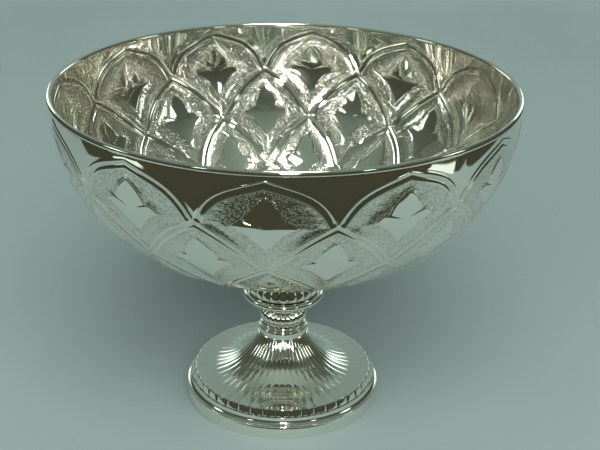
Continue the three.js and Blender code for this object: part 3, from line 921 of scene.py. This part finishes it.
def stage_cloth():
    """The cloth that the bowl mirrors, and a plain surround of the same cloth that the camera
    sees but the metal doesn't mirror, so the metal finds a dark room past the cloth."""
    front, bend_start, back, rise = -0.36, 1.45, 1.9, 2.3
    near, far = 0.62, 1.4  # the cloth's half width in front and at the back
    profile = [(front, 0.0), (bend_start, 0.0)]
    radius = back - bend_start
    for i in range(1, 13):
        angle = math.pi / 2 * i / 12
        profile.append((bend_start + radius * math.sin(angle), radius * (1 - math.cos(angle))))
    profile.append((back, rise))

    def half_width(y):
        return near + (far - near) * (y - front) / (back - front)

    cloth_points = [(side * half_width(y), y, z) for y, z in profile for side in (-1, 1)]
    count = len(profile) - 1
    cloth_faces = [(2 * i, 2 * i + 1, 2 * i + 3, 2 * i + 2) for i in range(count)]
    stage_mesh("stage_cloth", cloth_points, cloth_faces, STAGE_CLOTH)

    wide = 6.0
    points, faces = [], []
    for y, z in profile:
        points += [(-wide, y, z), (-half_width(y), y, z), (half_width(y), y, z), (wide, y, z)]
    for i in range(count):
        faces += [(4 * i + c, 4 * i + c + 1, 4 * i + c + 5, 4 * i + c + 4) for c in (0, 2)]
    first = len(points)
    points += [(-wide, -wide, 0), (wide, -wide, 0), (-wide, back, 4.0), (wide, back, 4.0)]
    faces.append((first, first + 1, 3, 2, 1, 0))
    last = 4 * count
    faces.append((last, last + 1, last + 2, last + 3, first + 3, first + 2))
    surround = stage_mesh("stage_surround", points, faces, STAGE_CLOTH)
    surround.visible_glossy = False
    surround.visible_shadow = False


def area_light(name, place, target, width, height, power, colour, mirrored):
    """A soft light. Either the cloth is lit by it or the metal mirrors it, not both."""
    data = bpy.data.lights.new(name, "AREA")
    data.shape = "RECTANGLE"
    data.size = width
    data.size_y = height
    data.energy = power
    data.color = colour
    light = bpy.data.objects.new(name, data)
    light.location = place
    aim = Vector(target) - Vector(place)
    light.rotation_euler = aim.to_track_quat("-Z", "Y").to_euler()
    light.visible_glossy = mirrored
    light.visible_diffuse = not mirrored
    light.visible_camera = False
    bpy.context.scene.collection.objects.link(light)
    return light


def pool_light(name, place, target, power, colour):
    """A narrow light that brightens one part of the cloth."""
    light = area_light(name, place, target, 0.3, 0.3, power, colour, False)
    light.data.spread = math.radians(70)


def soft_sun(name, source, power, colour):
    """Even light from one side of the room that the metal doesn't mirror."""
    data = bpy.data.lights.new(name, "SUN")
    data.angle = math.radians(50)
    data.energy = power
    data.color = colour
    light = bpy.data.objects.new(name, data)
    light.rotation_euler = (-Vector(source)).to_track_quat("-Z", "Y").to_euler()
    light.visible_glossy = False
    bpy.context.scene.collection.objects.link(light)


def room():
    """A dark room below and round the cloth, paler overhead. The camera sees plain grey."""
    world = bpy.data.worlds.new("room")
    bpy.context.scene.world = world
    world.use_nodes = True
    tree = world.node_tree
    background = tree.nodes["Background"]
    direction = tree.nodes.new("ShaderNodeTexCoord").outputs["Generated"]
    split = tree.nodes.new("ShaderNodeSeparateXYZ")
    tree.links.new(direction, split.inputs[0])
    ramp = tree.nodes.new("ShaderNodeValToRGB")
    stops = ((0.0, (0.050, 0.052, 0.031)), (0.48, (0.052, 0.055, 0.033)),
             (0.62, (0.055, 0.058, 0.042)), (0.8, (0.085, 0.105, 0.082)),
             (1.0, (0.205, 0.270, 0.225)))
    while len(ramp.color_ramp.elements) < len(stops):
        ramp.color_ramp.elements.new(0.5)
    for element, (position, colour) in zip(ramp.color_ramp.elements, stops):
        element.position = position
        element.color = (*colour, 1)
    height = tree.nodes.new("ShaderNodeMapRange")
    height.inputs["From Min"].default_value = -1.0
    tree.links.new(split.outputs["Z"], height.inputs["Value"])
    tree.links.new(height.outputs["Result"], ramp.inputs["Fac"])
    seen = tree.nodes.new("ShaderNodeLightPath").outputs["Is Camera Ray"]
    mix = tree.nodes.new("ShaderNodeMix")
    mix.data_type = "RGBA"
    tree.links.new(seen, mix.inputs[0])
    tree.links.new(ramp.outputs["Color"], mix.inputs[6])
    mix.inputs[7].default_value = (0.30, 0.36, 0.34, 1)
    tree.links.new(mix.outputs[2], background.inputs["Color"])


def photographer_camera():
    """The camera: a little above the rim, looking down at the bowl, with a slight roll."""
    pitch, yaw, roll = (math.radians(v) for v in (24.635, 0.8475, 1.0229))
    forward = Vector((math.sin(yaw) * math.cos(pitch), math.cos(yaw) * math.cos(pitch),
                      -math.sin(pitch)))
    right = Vector((math.cos(yaw), -math.sin(yaw), 0))
    up = right.cross(forward)
    right, up = (math.cos(roll) * right + math.sin(roll) * up,
                 -math.sin(roll) * right + math.cos(roll) * up)
    data = bpy.data.cameras.new("camera")
    data.sensor_width = 36.0
    data.lens = 70.4
    camera = bpy.data.objects.new("camera", data)
    turn = Matrix((right, up, -forward)).transposed().to_4x4()
    camera.matrix_world = Matrix.Translation((0, -0.954, 0.6058)) @ turn
    bpy.context.scene.collection.objects.link(camera)
    bpy.context.scene.camera = camera


STAGE_CLOTH = cloth()
stage_cloth()
WARM, COOL, GREEN = (1.0, 1.0, 0.94), (0.96, 1.0, 0.99), (0.84, 1.0, 0.88)
area_light("overhead", (0.0, 0.1, 1.9), (0, 0.1, 0), 2.2, 1.8, 3.0, COOL, False)
soft_sun("front_fill", (0.1, -1.0, 1.1), 3.1, COOL)
area_light("flash", (0.03, -0.97, 0.70), (0, 0, 0.2), 0.11, 0.06, 11.0, WARM, True)
area_light("ceiling_lamp", (0.08, 0.05, 1.9), (0, 0, 0.1), 0.36, 0.3, 6.0, WARM, True)
for side, name in ((-1, "left"), (1, "right")):
    pool_light(name + "_pool", (side * 0.9, -0.55, 0.8), (side * 0.42, -0.2, 0), 0.5, COOL)
    # small lights that the polished metal mirrors and the cloth isn't lit by
    area_light(name + "_low_light", (side * 0.715, -0.27, 0.002), (side * 0.715, -0.27, 1),
               0.11, 0.20, 0.07, GREEN, True)
    area_light(name + "_window", (side * 2.2, -0.22, 1.32), (0, 0, 0.2), 0.45, 0.45, 1.9,
               GREEN, True)
    area_light(name + "_front_window", (side * 1.5, -1.87, 1.5), (0, 0, 0.2), 0.25, 0.3, 1.1,
               GREEN, True)
    area_light(name + "_back_glow", (side * 0.95, 1.8, 0.8), (0, 0, 0.2), 0.9, 0.6, 2.3,
               GREEN, True)
room()
photographer_camera()
bpy.context.scene.view_settings.view_transform = "Standard"
